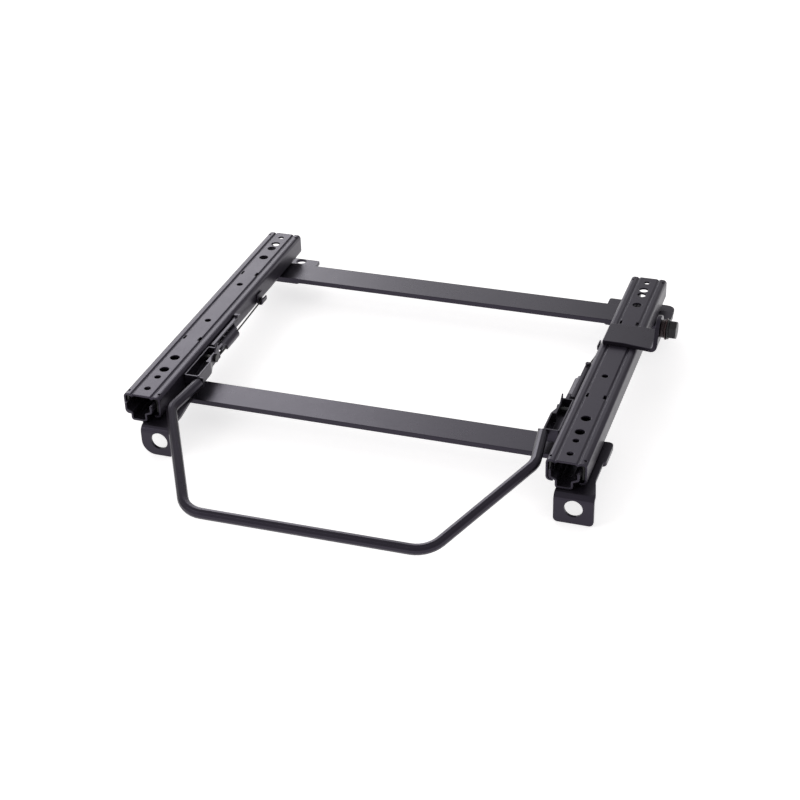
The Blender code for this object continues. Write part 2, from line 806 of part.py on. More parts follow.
def make_front_foot(side, tab_edges, plate_edges, hole, outer_radius, inner_radius):
    """A base plate under the rail whose front end is bent down into a drilled tab.

    Edges are the inner and outer ones, measured outwards from the centre line of the rail.
    """
    middle = FOOT_SHEET / 2
    front = FOOT_FRONT_Y + middle
    level = STRAP_TOP - middle
    rear = FRONT_STRAP_Y - CLEARANCE
    bottom = -FOOT_DROP
    tab_inner, tab_outer = (HALF_SPACING + edge for edge in tab_edges)
    plate_inner, plate_outer = (HALF_SPACING + edge for edge in plate_edges)
    bend = rounded_path(
        ((rear, level), (front, level), (front, bottom)),
        (FOOT_BEND_RADIUS - middle,),
    )
    places = [tuple(point) for point in bend[:-1]]
    flare_y = (FOOT_FRONT_Y + FRONT_STRAP_Y) / 2
    stations = [(plate_inner, plate_outer, places[0])]
    stations.append((tab_inner, plate_outer, (flare_y, level)))
    for place in places[1:]:
        stations.append((tab_inner, tab_outer, place))
    radius = max(outer_radius, inner_radius)
    for step in range(2 * CORNER_STEPS + 1):
        from_end = radius * (1 - math.sin(math.pi / 2 * step / (2 * CORNER_STEPS)))
        low = tab_inner + corner_inset(from_end, inner_radius)
        high = tab_outer - corner_inset(from_end, outer_radius)
        stations.append((low, high, (front, bottom + from_end)))
    if side == LEFT:
        stations = [(-high, -low, place) for low, high, place in stations]
    foot = add_part(
        f"front_{SIDE_NAMES[side]}_foot",
        ribbon_mesh(stations, "X"),
        "paint",
        smooth=True,
    )
    thicken(foot, FOOT_SHEET)
    cut(
        foot,
        cylinder_mesh(
            (side * (HALF_SPACING + hole), front, -FOOT_HOLE_DROP),
            "Y",
            FOOT_HOLE,
            4 * FOOT_SHEET,
        ),
    )


def make_rear_foot(side):
    inner = HALF_SPACING + REAR_FOOT_INNER
    outer = HALF_SPACING + REAR_FOOT_OUTER
    corners = [
        (inner, REAR_FOOT_REAR_Y),
        (outer, REAR_FOOT_REAR_Y),
        (outer, REAR_FOOT_FRONT_Y),
        (inner + REAR_FOOT_CHAMFER, REAR_FOOT_FRONT_Y),
        (inner, REAR_FOOT_FRONT_Y + REAR_FOOT_CHAMFER),
    ]
    radii = (STRAP_CORNER / 2, 2 * STRAP_CORNER, 2 * STRAP_CORNER, 0.0, 0.0)
    outline = rounded_outline(corners, radii)
    hole = circle((HALF_SPACING + REAR_FOOT_HOLE_X, REAR_FOOT_HOLE_Y), REAR_FOOT_HOLE)
    outlines = [[(side * x, y) for x, y in loop] for loop in (outline, hole)]
    level = REAR_FOOT_TOP - FOOT_SHEET / 2
    add_part(
        f"rear_{SIDE_NAMES[side]}_foot",
        plate_mesh(outlines, FOOT_SHEET, "XY", level),
        "paint",
    )


def on_bail(part):
    """Hangs a part and its guides from the axis that the release bar turns on."""
    offset = BAIL_AXIS.location
    for piece in [part] + [modifier.object for modifier in part.modifiers]:
        piece.parent = BAIL_AXIS
        piece.location = -offset


def make_handle():
    """One bent round bar: two arms along the rails, drawn in to a front grip bar."""
    half = (
        (HALF_SPACING - ARM_END_U, ARM_END_Y, ARM_END_Z),
        (HALF_SPACING - ARM_BEND_U, ARM_BEND_Y, ARM_BEND_Z),
        (BAR_HALF, BAR_Y, BAR_Z),
    )
    corners = [(-x, y, z) for x, y, z in half] + [(x, y, z) for x, y, z in reversed(half)]
    slope = math.tan(HANDLE_TILT)
    corners = [(x, y, z + slope * x) for x, y, z in corners]
    radii = (ARM_BEND_RADIUS, BAR_BEND_RADIUS, BAR_BEND_RADIUS, ARM_BEND_RADIUS)
    path = rounded_path(corners, radii, BEND_STEPS)
    on_bail(add_wire("release_handle", path, TUBE, TUBE_FINENESS, "paint"))


def lock_plate_height(u):
    """Height of the top of the withdrawn lock plate at a distance inboard of the rail."""
    rise = LOCK_Z + LOCK_SHEET / 2 - ROD_Z
    return ROD_Z + (rise - (u - ROD_U) * math.sin(LOCK_ANGLE)) / math.cos(LOCK_ANGLE)


def lever_floor(side, shrink, width, top):
    """The lever's outline seen from the side, with a floor that rises behind the arm."""
    outline = (
        (LEVER_FRONT_Y + shrink, top),
        (LEVER_FRONT_Y + shrink, LEVER_BOTTOM_Z + shrink),
        (LEVER_RISE_Y, LEVER_BOTTOM_Z + shrink),
        (LEVER_REAR_Y - shrink, LEVER_REAR_BOTTOM_Z + shrink),
        (LEVER_REAR_Y - shrink, top),
    )
    middle = LEVER_INNER_U + shrink + width / 2
    return plate_mesh([outline], width, "YZ", inboard(side, middle))


def make_lever(side):
    """The tray welded behind the arm, with a finger at its rear that works the lock plate."""
    corners = (
        (LEVER_INNER_U, LEVER_FRONT_Y),
        (LEVER_OUTER_U, LEVER_FRONT_Y),
        (LEVER_OUTER_U, LEVER_WIDE_Y),
        (LEVER_REAR_U, LEVER_NARROW_Y),
        (LEVER_REAR_U, LEVER_REAR_Y),
        (LEVER_INNER_U, LEVER_REAR_Y),
    )
    plan = rounded_outline(corners, (LEVER_CORNER,) * len(corners))
    world = [(inboard(side, u), y) for u, y in plan]
    height = LEVER_TOP_Z - LEVER_BOTTOM_Z
    lever = add_part(
        f"latch_lever_{SIDE_NAMES[side]}",
        plate_mesh([world], height, "XY", LEVER_TOP_Z - height / 2),
        "paint",
    )
    wedge = plate_mesh(
        [
            (
                (LEVER_RISE_Y, LEVER_BOTTOM_Z),
                (LEVER_REAR_Y + EXTRA, LEVER_BOTTOM_Z - EXTRA),
                (
                    LEVER_REAR_Y + EXTRA,
                    LEVER_BOTTOM_Z
                    + (LEVER_REAR_BOTTOM_Z - LEVER_BOTTOM_Z)
                    * (LEVER_REAR_Y + EXTRA - LEVER_RISE_Y)
                    / (LEVER_REAR_Y - LEVER_RISE_Y),
                ),
            )
        ],
        2 * LEVER_WIDTH,
        "YZ",
        inboard(side, LEVER_INNER_U + LEVER_WIDTH / 2),
    )
    rear_hollow = lever_floor(
        side, LEVER_SHEET, LEVER_REAR_WIDTH - 2 * LEVER_SHEET, LEVER_TOP_Z + EXTRA
    )
    front_hollow = u_box(
        side,
        (LEVER_INNER_U + LEVER_SHEET, LEVER_OUTER_U - LEVER_SHEET),
        (LEVER_FRONT_Y + LEVER_SHEET, LEVER_WIDE_Y),
        (LEVER_BOTTOM_Z + 2 * LEVER_SHEET, LEVER_TOP_Z + EXTRA),
    )
    pin_hole = cylinder_mesh(
        (inboard(side, LEVER_INNER_U + LEVER_WIDTH / 2), PIVOT_Y, PIVOT_Z),
        "X",
        PIVOT_PIN + 2 * CLEARANCE,
        2 * LEVER_WIDTH,
    )
    cut(lever, wedge, rear_hollow, front_hollow, pin_hole)
    finger_bottom = lock_plate_height(FINGER_INNER_U) + CLEARANCE
    finger = u_box(
        side,
        (FINGER_INNER_U, FINGER_OUTER_U),
        (LEVER_REAR_Y - LEVER_SHEET, FINGER_END_Y),
        (finger_bottom, finger_bottom + FINGER_DEPTH),
    )
    weld_tab = u_box(
        side,
        (LEVER_OUTER_U - LEVER_CORNER - LEVER_SHEET, LEVER_OUTER_U + LEVER_WELD_TAB),
        (LEVER_FRONT_Y, LEVER_FRONT_Y + LEVER_SHEET),
        (LEVER_WELD_TAB_BOTTOM, LEVER_WELD_TAB_TOP),
    )
    horn = plate_mesh(
        [
            (
                (LEVER_HORN_FRONT_Y, LEVER_TOP_Z - LEVER_SHEET),
                (LEVER_REAR_Y - LEVER_CORNER, LEVER_TOP_Z - LEVER_SHEET),
                (LEVER_HORN_TIP_Y, LEVER_HORN_Z),
            )
        ],
        LEVER_SHEET - CLEARANCE,
        "YZ",
        inboard(side, LEVER_REAR_U - LEVER_SHEET / 2),
    )
    join(lever, finger, weld_tab, horn)
    on_bail(lever)


def make_pivot_pin(side):
    """A shouldered rivet, fixed in the wall of the upper rail, on which the lever turns."""
    start = WALL_INNER + CLEARANCE
    end = LEVER_REAR_U + CLEARANCE
    pin = add_part(
        f"lever_pivot_pin_{SIDE_NAMES[side]}",
        cylinder_mesh(
            (inboard(side, (start + end) / 2), PIVOT_Y, PIVOT_Z),
            "X",
            PIVOT_PIN,
            end - start,
        ),
        "fastener",
        smooth=True,
    )
    head = cylinder_mesh(
        (inboard(side, end + PIVOT_HEAD_DEPTH / 2 - CLEARANCE / 2), PIVOT_Y, PIVOT_Z),
        "X",
        PIVOT_HEAD,
        PIVOT_HEAD_DEPTH + CLEARANCE,
    )
    join(pin, head)


def ear_outline(side, top, u_back):
    """A tongue that hangs from a level and ends in a round eye at the hinge rod."""
    steps = 3 * CORNER_STEPS
    eye = [
        (
            ROD_U + EAR_RADIUS * math.cos(math.pi * (1 + step / steps)),
            ROD_Z + EAR_RADIUS * math.sin(math.pi * (1 + step / steps)),
        )
        for step in range(steps + 1)
    ]
    outline = [(u_back, top)] + eye + [(EAR_TOP_U, top)]
    hole = circle((ROD_U, ROD_Z), ROD + 2 * CLEARANCE, HOLE_SIDES // 2)
    return [[(inboard(side, u), z) for u, z in loop] for loop in (outline, hole)]


def make_latch_bracket(side):
    """An angle on the wall of the upper rail, with two ears for the hinge rod and a rivet."""
    back = UPPER_HALF + CLEARANCE + BRACKET_SHEET / 2
    level = BRACKET_TOP_Z - BRACKET_SHEET / 2
    section = rounded_path(
        (
            (back, level - BRACKET_BACK_DROP),
            (back, level),
            (back + BRACKET_FLANGE, level),
        ),
        (BRACKET_SHEET,),
    )
    world = [(inboard(side, u), z) for u, z in section]
    bracket = add_part(
        f"latch_bracket_{SIDE_NAMES[side]}",
        sheet_mesh(world, BRACKET_FRONT_Y, BRACKET_REAR_Y, 0.0),
        "paint",
    )
    thicken(bracket, BRACKET_SHEET)
    windows = [
        u_box(
            side,
            (UPPER_HALF, back + BRACKET_SHEET),
            (y - SLOT_LENGTH / 2, y + SLOT_LENGTH / 2),
            (WINDOW_BOTTOM, WINDOW_TOP),
        )
        for y in tooth_places()
    ]
    ears = []
    for y in EAR_PLACES:
        loops = ear_outline(side, level, back - BRACKET_SHEET / 2 + CLEARANCE / 2)
        ears.append(plate_mesh(loops, BRACKET_SHEET, "XZ", y))
    rivet = cylinder_mesh(
        (inboard(side, back + BRACKET_FLANGE / 2), RIVET_Y, level + BRACKET_SHEET),
        "Z",
        RIVET,
        2 * BRACKET_SHEET,
    )
    cut(bracket, merged("bracket_windows", *windows))
    join(bracket, *ears, rivet)


def make_hinge_rod(side):
    front = EAR_PLACES[0] - 2 * BRACKET_SHEET
    rear = EAR_PLACES[1] + 2 * BRACKET_SHEET
    add_part(
        f"lock_hinge_rod_{SIDE_NAMES[side]}",
        cylinder_mesh(
            (inboard(side, ROD_U), (front + rear) / 2, ROD_Z), "Y", ROD, rear - front
        ),
        "fastener",
        smooth=True,
    )


def cover_mesh(side):
    """The rolled-over tail of the lock plate, as a solid along the rail."""
    section = rounded_path(
        (
            (COVER_START_U, LOCK_Z),
            (COVER_START_U + COVER_RADIUS, LOCK_Z),
            (COVER_START_U + COVER_RADIUS, LOCK_Z - COVER_DROP),
        ),
        (COVER_RADIUS,),
        2 * CORNER_STEPS,
    )
    outer = []
    inner = []
    half = LOCK_SHEET / 2
    for index, point in enumerate(section):
        before = section[max(index - 1, 0)]
        after = section[min(index + 1, len(section) - 1)]
        along = (after - before).normalized()
        outer.append((point.x - along.y * half, point.y + along.x * half))
        inner.append((point.x + along.y * half, point.y - along.x * half))
    loop = [(inboard(side, u), z) for u, z in outer + inner[::-1]]
    middle = (COVER_FRONT_Y + COVER_REAR_Y) / 2
    return plate_mesh([loop], COVER_REAR_Y - COVER_FRONT_Y, "XZ", middle)


def make_lock_plate(side):
    """A comb whose teeth pass through the wall of the upper rail into the slots of the lower rail."""
    teeth = tooth_places()
    front = EAR_PLACES[0] + BRACKET_SHEET / 2 + LOCK_MARGIN
    rear = EAR_PLACES[1] - BRACKET_SHEET / 2 - LOCK_MARGIN
    outline = [(LOCK_TAIL_EDGE, front), (LOCK_BODY_EDGE, front)]
    for y in teeth:
        outline.append((LOCK_BODY_EDGE, y - TOOTH_WIDTH / 2))
        outline.append((LOCK_TOOTH_TIP, y - TOOTH_WIDTH / 2))
        outline.append((LOCK_TOOTH_TIP, y + TOOTH_WIDTH / 2))
        outline.append((LOCK_BODY_EDGE, y + TOOTH_WIDTH / 2))
    outline.extend([(LOCK_BODY_EDGE, rear), (COVER_START_U, rear)])
    outline.extend([(COVER_START_U, COVER_FRONT_Y), (LOCK_TAIL_EDGE, COVER_FRONT_Y)])
    world = [(inboard(side, u), y) for u, y in outline]
    plate = add_part(
        f"lock_plate_{SIDE_NAMES[side]}",
        plate_mesh([world], LOCK_SHEET, "XY", LOCK_Z),
        "paint",
    )
    extras = [cover_mesh(side)]
    for y in (front + LOCK_EAR_SHEET / 2, WIRE_END_Y - 2 * LOCK_EAR_SHEET):
        loops = ear_outline(side, LOCK_Z, LOCK_BODY_EDGE + CLEARANCE)
        extras.append(plate_mesh(loops, LOCK_EAR_SHEET - CLEARANCE / 2, "XZ", y))
    join(plate, *extras)
    hinge = Vector((inboard(side, ROD_U), (front + rear) / 2, ROD_Z))
    for mesh in [plate.data, *extras]:
        mesh.transform(Matrix.Translation(-hinge))
    pivot = add_pivot(f"lock_axis_{SIDE_NAMES[side]}", hinge)
    pivot.rotation_euler = (0.0, -side * LOCK_ANGLE, 0.0)
    plate.parent = pivot
    for modifier in plate.modifiers:
        modifier.object.parent = pivot


def make_spring(side):
    """A bent wire from the hook to the underside of the lock plate, inside its rolled tail."""
    hook_u = UPPER_HALF + CLEARANCE + HOOK_SHEET + HOOK_PLAY + WIRE / 2
    hook_z = HOOK_FLOOR_Z + HOOK_SHEET / 2 + CLEARANCE + WIRE / 2
    points = (
        (hook_u, HOOK_Y + HOOK_LENGTH / 2, hook_z),
        (hook_u, HOOK_Y - HOOK_LENGTH, hook_z),
        (WIRE_U, WIRE_TURN_Y, WIRE_Z),
        (WIRE_U, WIRE_END_Y, WIRE_Z),
    )
    places = [(inboard(side, u), y, z) for u, y, z in points]
    path = rounded_path(places, (8 * WIRE,) * (len(places) - 2), CORNER_STEPS)
    add_wire(f"return_spring_{SIDE_NAMES[side]}", path, WIRE, WIRE_FINENESS, "wire")


def make_spring_hook(side):
    """A small J-shaped clip on the wall of the upper rail that holds the rear of the wire."""
    inner = UPPER_HALF + CLEARANCE + HOOK_SHEET / 2
    outer = inner + HOOK_SHEET + WIRE + 2 * HOOK_PLAY
    section = rounded_path(
        (
            (inner, HOOK_TOP_Z),
            (inner, HOOK_FLOOR_Z),
            (outer, HOOK_FLOOR_Z),
            (outer, HOOK_LIP_Z),
        ),
        (HOOK_SHEET, HOOK_SHEET),
    )
    world = [(inboard(side, u), z) for u, z in section]
    hook = add_part(
        f"spring_hook_{SIDE_NAMES[side]}",
        sheet_mesh(world, HOOK_Y - HOOK_LENGTH / 2, HOOK_Y + HOOK_LENGTH / 2, 0.0),
        "paint",
    )
    thicken(hook, HOOK_SHEET)


def make_belt_bracket():
    """A plate across the right upper rail whose outer end is bent up into a rounded bolt ear."""
    middle = BELT_SHEET / 2
    wall = BELT_OUTER_X - middle
    path = rounded_path(
        ((BELT_INNER_X, BELT_PLATE_Z), (wall, BELT_PLATE_Z), (wall, BELT_EAR_TOP)),
        (BELT_BEND_RADIUS - middle,),
    )
    stations = [
        (BELT_FRONT_Y + BELT_STEP, BELT_REAR_Y, path[0]),
        (BELT_FRONT_Y + BELT_STEP, BELT_REAR_Y, (BELT_STEP_X, BELT_PLATE_Z)),
    ]
    for place in path[1:-1]:
        stations.append((BELT_FRONT_Y, BELT_REAR_Y, place))
    middle_y = BELT_BOLT_Y
    steps = 3 * CORNER_STEPS
    for step in range(steps):
        angle = math.pi / 2 * step / steps
        reach = BELT_EAR_ROUND * math.cos(angle)
        height = BELT_BOLT_Z + (BELT_EAR_TOP - BELT_BOLT_Z) * math.sin(angle)
        stations.append((middle_y - reach, middle_y + reach, (wall, height)))
    tip = BELT_EAR_ROUND / 6
    stations.append((middle_y - tip, middle_y + tip, (wall, BELT_EAR_TOP)))
    bracket = add_part(
        "belt_bracket",
        ribbon_mesh(stations, "Y"),
        "paint",
        smooth=True,
    )
    thicken(bracket, BELT_SHEET)
    hole = cylinder_mesh(
        (wall, BELT_BOLT_Y, BELT_BOLT_Z), "X", BELT_BOLT + 2 * CLEARANCE, 4 * BELT_SHEET
    )
    cut(bracket, hole)


def make_belt_bolt():
    """A hexagon-headed bolt with its collar and two washers, screwed into the ear from outside."""
    centre = (BELT_BOLT_Y, BELT_BOLT_Z)
    start = BELT_EAR_X
    bolt = add_part(
        "belt_bolt",
        cylinder_mesh(
            ((start + HEX_START_X + HEX_HEIGHT / 2) / 2, *centre),
            "X",
            BELT_BOLT,
            HEX_START_X + HEX_HEIGHT / 2 - start,
        ),
        "fastener",
    )
    across_corners = HEX_ACROSS_FLATS / math.cos(math.pi / 6)
    head = cylinder_mesh(
        (HEX_START_X + HEX_HEIGHT / 2, *centre),
        "X",
        across_corners,
        HEX_HEIGHT,
        6,
        math.radians(30.0),
    )
    join(bolt, head)
    place = BELT_OUTER_X + CLEARANCE
    bore = BELT_BOLT + 2 * CLEARANCE
    stack = (
        ("belt_collar", COLLAR_OUTER, COLLAR_LENGTH, 0.0),
        ("belt_wave_washer", WAVE_WASHER, WAVE_WASHER_SHEET, WAVE_HEIGHT),
        ("belt_plain_washer", PLAIN_WASHER, PLAIN_WASHER_SHEET, 0.0),
    )
    for name, outer, length, wave in stack:
        middle = place + wave + length / 2
        ring = ring_mesh((middle, *centre), "X", outer, bore, length, wave)
        add_part(name, ring, "fastener", smooth=True)
        place = middle + wave + length / 2 + CLEARANCE


def build():
    for side in (LEFT, RIGHT):
        make_upper_rail(side)
        make_lower_rail(side)
        make_retainer(side, "inner", -side)
        make_retainer(side, "outer", side)
        make_lever(side)
        make_pivot_pin(side)
        make_latch_bracket(side)
        make_hinge_rod(side)
        make_lock_plate(side)
        make_spring(side)
        make_spring_hook(side)
        make_rear_foot(side)
    make_strap("front_cross_strap", FRONT_STRAP_Y, FRONT_STRAP_LENGTH)
    make_strap("rear_cross_strap", REAR_STRAP_Y, REAR_STRAP_LENGTH)
    make_front_foot(
        LEFT,
        (LEFT_TAB_INNER, LEFT_TAB_OUTER),
        (LEFT_PLATE_INNER, LEFT_PLATE_OUTER),
        LEFT_TAB_HOLE,
        LEFT_TAB_RADIUS,
        0.0,
    )
    make_front_foot(
        RIGHT,
        (RIGHT_TAB_INNER, RIGHT_TAB_OUTER),
        (RIGHT_TAB_INNER, RIGHT_PLATE_OUTER),
        RIGHT_TAB_HOLE,
        RIGHT_TAB_RADIUS,
        RIGHT_TAB_RADIUS,
    )
    make_handle()
    make_belt_bracket()
    make_belt_bolt()


build()
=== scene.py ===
# %% [markdown]
# # Seat slide rail
# This lesson dresses a imported CAD model of a seat slide rail: two ball-bearing slide rails on flat
# cross straps, with feet for the vehicle floor and a bent round bar that releases the lock. The CAD
# nodes already have the real shapes, so the work here is light, paint, painted edge highlights and the
# small detail that is too fine for the solids.

import json
import math

import bpy
from mathutils import Matrix, Vector


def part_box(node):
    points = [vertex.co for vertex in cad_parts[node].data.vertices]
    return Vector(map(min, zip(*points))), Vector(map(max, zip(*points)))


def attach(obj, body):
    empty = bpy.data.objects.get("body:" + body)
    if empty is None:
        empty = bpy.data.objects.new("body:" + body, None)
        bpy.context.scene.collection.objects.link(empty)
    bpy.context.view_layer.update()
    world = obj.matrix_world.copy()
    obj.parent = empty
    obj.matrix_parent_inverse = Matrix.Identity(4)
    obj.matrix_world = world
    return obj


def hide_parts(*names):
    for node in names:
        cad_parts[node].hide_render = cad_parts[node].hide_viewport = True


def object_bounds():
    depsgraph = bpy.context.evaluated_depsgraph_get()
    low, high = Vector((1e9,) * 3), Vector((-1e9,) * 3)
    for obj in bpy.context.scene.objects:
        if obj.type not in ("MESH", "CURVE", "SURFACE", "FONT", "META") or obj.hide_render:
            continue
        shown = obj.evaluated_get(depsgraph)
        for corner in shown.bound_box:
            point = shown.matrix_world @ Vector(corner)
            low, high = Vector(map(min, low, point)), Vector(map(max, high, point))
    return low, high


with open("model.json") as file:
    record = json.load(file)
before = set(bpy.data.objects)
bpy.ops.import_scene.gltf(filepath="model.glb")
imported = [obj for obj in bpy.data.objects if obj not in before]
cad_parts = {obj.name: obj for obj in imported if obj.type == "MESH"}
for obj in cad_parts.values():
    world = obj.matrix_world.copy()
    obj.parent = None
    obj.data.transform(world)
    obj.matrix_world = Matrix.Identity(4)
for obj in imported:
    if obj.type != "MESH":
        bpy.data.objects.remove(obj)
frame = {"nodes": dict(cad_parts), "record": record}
cad_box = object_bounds()
nodes = frame["nodes"]
MM = 0.001
bpy.ops.object.select_all(action="DESELECT")

# %% [markdown]
# ## Camera
# A product photograph is taken with a long lens from a little above. The camera is set by its place,
# its turn about the vertical, its height angle and a small roll. Writing the three axes of the camera
# by hand keeps each of those numbers visible; a Track To constraint would be quicker, but it has no
# roll of its own.

# %% Camera
CAMERA_PLACE = Vector((0.45768, -1.29812, 0.84463))
AZIMUTH = math.radians(19.474)
ELEVATION = math.radians(31.180)
ROLL = math.radians(-1.860)
LENS = 76.044
SENSOR_WIDTH = 36.0
NEAREST = 0.05
FURTHEST = 50.0

back = Vector(
    (
        math.sin(AZIMUTH) * math.cos(ELEVATION),
        -math.cos(AZIMUTH) * math.cos(ELEVATION),
        math.sin(ELEVATION),
    )
)
level = Vector((0.0, 0.0, 1.0)).cross(back).normalized()
upright = back.cross(level)
right = math.cos(ROLL) * level + math.sin(ROLL) * upright
up = -math.sin(ROLL) * level + math.cos(ROLL) * upright
camera_turn = Matrix((right, up, back)).transposed().to_4x4()

camera_data = bpy.data.cameras.new("camera")
camera_data.lens = LENS
camera_data.sensor_width = SENSOR_WIDTH
camera_data.clip_start = NEAREST
camera_data.clip_end = FURTHEST
camera = bpy.data.objects.new("camera", camera_data)
bpy.context.scene.collection.objects.link(camera)
camera.matrix_world = Matrix.Translation(CAMERA_PLACE) @ camera_turn
bpy.context.scene.camera = camera
print("camera at", tuple(round(value, 3) for value in CAMERA_PLACE))

# %% [markdown]
# ## A helper for shader nodes
# In the node editor a material is made by adding nodes, typing values into their free sockets and
# drawing links. This helper does the first two in one call, so the recipes below read as lists of
# nodes with their values. Settings go in before values, because the data type of a Mix node decides
# which of its sockets are in use.

# %% A helper for shader nodes
def add_node(tree, kind, inputs=None, **settings):
    """Add a shader node with its settings and the values of its free sockets."""
    node = tree.nodes.new(kind)
    for name, value in settings.items():
        setattr(node, name, value)
    for name, value in (inputs or {}).items():
        node.inputs[name].default_value = value
    return node


print("helper ready:", add_node.__name__)

# %% [markdown]
# ## Floor
# The rails stand on a white sweep. One large plane does for it, just under the lowest point of the
# feet, so that nothing sinks into it or flickers against it. The Standard view transform shows a
# colour about as it is written.

# %% Floor
scene = bpy.context.scene
scene.view_settings.view_transform = "Standard"
FLOOR_GAP = 0.5 * MM
FLOOR_LEVEL = cad_box[0][2] - FLOOR_GAP
FLOOR_SIZE = 60.0

bpy.ops.mesh.primitive_plane_add(size=FLOOR_SIZE, location=(0.0, 0.0, FLOOR_LEVEL))
floor = bpy.context.object
floor.name = "floor"
bpy.ops.object.transform_apply(location=True, rotation=True, scale=True)
print("floor at", round(FLOOR_LEVEL, 4))

# %% [markdown]
# ## Floor paint
# A white floor that is lit only by lamps comes out grey at its far end, so its shader adds a little
# light of its own. A Light Path node gives that light to what the camera sees and to reflections, and
# keeps it from lighting the object. The lamps still fall on the floor, so the soft shadow stays.

# %% Floor paint
WHITE = (1.0, 1.0, 1.0, 1.0)
FLOOR_COLOUR = (0.80, 0.78, 0.785, 1.0)
FLOOR_GLOW = 0.64

floor_paint = bpy.data.materials.new("floor_paint")
floor_paint.use_nodes = True
tree = floor_paint.node_tree
tree.nodes.clear()
output = add_node(tree, "ShaderNodeOutputMaterial")
diffuse = add_node(tree, "ShaderNodeBsdfDiffuse", {"Color": FLOOR_COLOUR})
glow = add_node(tree, "ShaderNodeEmission", {"Color": WHITE, "Strength": FLOOR_GLOW})
dark = add_node(tree, "ShaderNodeEmission", {"Strength": 0.0})
rays = add_node(tree, "ShaderNodeLightPath")
seen = add_node(tree, "ShaderNodeMath", operation="MAXIMUM")
through = add_node(tree, "ShaderNodeMath", operation="MAXIMUM")
switch = add_node(tree, "ShaderNodeMixShader")
both = add_node(tree, "ShaderNodeAddShader")
tree.links.new(rays.outputs["Is Camera Ray"], seen.inputs[0])
tree.links.new(rays.outputs["Is Glossy Ray"], seen.inputs[1])
tree.links.new(seen.outputs[0], through.inputs[0])
tree.links.new(rays.outputs["Is Transmission Ray"], through.inputs[1])
tree.links.new(through.outputs[0], switch.inputs["Fac"])
tree.links.new(dark.outputs[0], switch.inputs[1])
tree.links.new(glow.outputs[0], switch.inputs[2])
tree.links.new(diffuse.outputs[0], both.inputs[0])
tree.links.new(switch.outputs[0], both.inputs[1])
tree.links.new(both.outputs[0], output.inputs["Surface"])
floor.data.materials.append(floor_paint)
print("floor paint:", len(tree.nodes), "nodes")

# %% [markdown]
# ## World
# An even white world fills the shadows from all sides, as the walls of a studio do. It is kept at half
# strength, so that the lamps still shape the object.

# %% World
WORLD_LEVEL = 0.50

world = bpy.data.worlds.new("studio")
scene.world = world
world.use_nodes = True
sky = world.node_tree.nodes["Background"]
sky.inputs["Color"].default_value = WHITE
sky.inputs["Strength"].default_value = WORLD_LEVEL
print("world strength", WORLD_LEVEL)

# %% [markdown]
# ## Lamps
# Dark gloss paint shows the shape of whatever it mirrors, so the lamps are large soft boxes. Two of
# them stand behind and to the left: they brighten the left rail's top and fade out towards the right
# rail. The third one, in front, only opens up the shaded ends. Places and sizes are in metres and
# power is in watts.

# %% Lamps
LAMP_AIM = Vector((0.0, 0.0, 0.0))
LAMPS = {
    "key_box": {"place": (-1.75, 2.2, 1.5), "width": 1.7, "depth": 2.0, "power": 23.6},
    "edge_box": {"place": (-1.15, 2.5, 1.6), "width": 1.6, "depth": 2.0, "power": 7.6},
    "fill_box": {"place": (-1.4, -1.4, 1.6), "width": 1.2, "depth": 1.2, "power": 9.5},
}


def soft_box(name, place, width, depth, power):
    """A rectangular area lamp that faces the middle of the object."""
    data = bpy.data.lights.new(name, "AREA")
    data.shape = "RECTANGLE"
    data.size = width
    data.size_y = depth
    data.energy = power
    lamp = bpy.data.objects.new(name, data)
    scene.collection.objects.link(lamp)
    stand = Vector(place)
    facing = (stand - LAMP_AIM).to_track_quat("Z", "Y").to_matrix().to_4x4()
    lamp.matrix_world = Matrix.Translation(stand) @ facing


for name, values in LAMPS.items():
    soft_box(name, **values)
print("lamps:", list(LAMPS))

# %% [markdown]
# ## Noise for the paint
# The pressed parts are dipped in a semi-gloss black. Such paint is never quite even: it has a fine
# orange peel and a cloudy change of sheen. Its edges get a lighter grey, a painted highlight.
# Noise textures make the clouds and the peel, and break up the painted highlight. They read Object
# coordinates, so the pattern stays on a piece when the piece moves, and no UV map is needed.

# %% Noise for the paint
CLOUD_SCALE = 38.0
CLOUD_DETAIL = 5.0
CLOUD_ROUGHNESS = 0.6
PLAIN_ROUGHNESS = 0.5


def noise(tree, place, scale, detail, roughness=PLAIN_ROUGHNESS):
    """A noise texture that is fixed to the piece, as a value from 0 to 1."""
    values = {"Scale": scale, "Detail": detail, "Roughness": roughness}
    texture = add_node(tree, "ShaderNodeTexNoise", values)
    tree.links.new(place.outputs["Object"], texture.inputs["Vector"])
    return texture.outputs["Fac"]


print("a cloud in the paint is about", round(1.0 / CLOUD_SCALE / MM), "mm wide")

# %% [markdown]
# ## Painted edge highlights
# A Bevel node rounds the hard edges of the solids in shading only, which gives each fold the thin
# bright line that it has in life. Where that rounded normal turns away from the true one there is an
# edge. So the likeness of the two, their dot product, says where the edges are, and no map has to be
# painted by hand. There a lighter grey is painted on as a highlight, and the clouds make it patchy.

# %% Painted edge highlights
FLAT_LIKENESS = 0.99
EDGE_LIKENESS = 0.80
PATCH_START = 0.35
PATCH_END = 0.65
LEAST_PATCH = 0.25
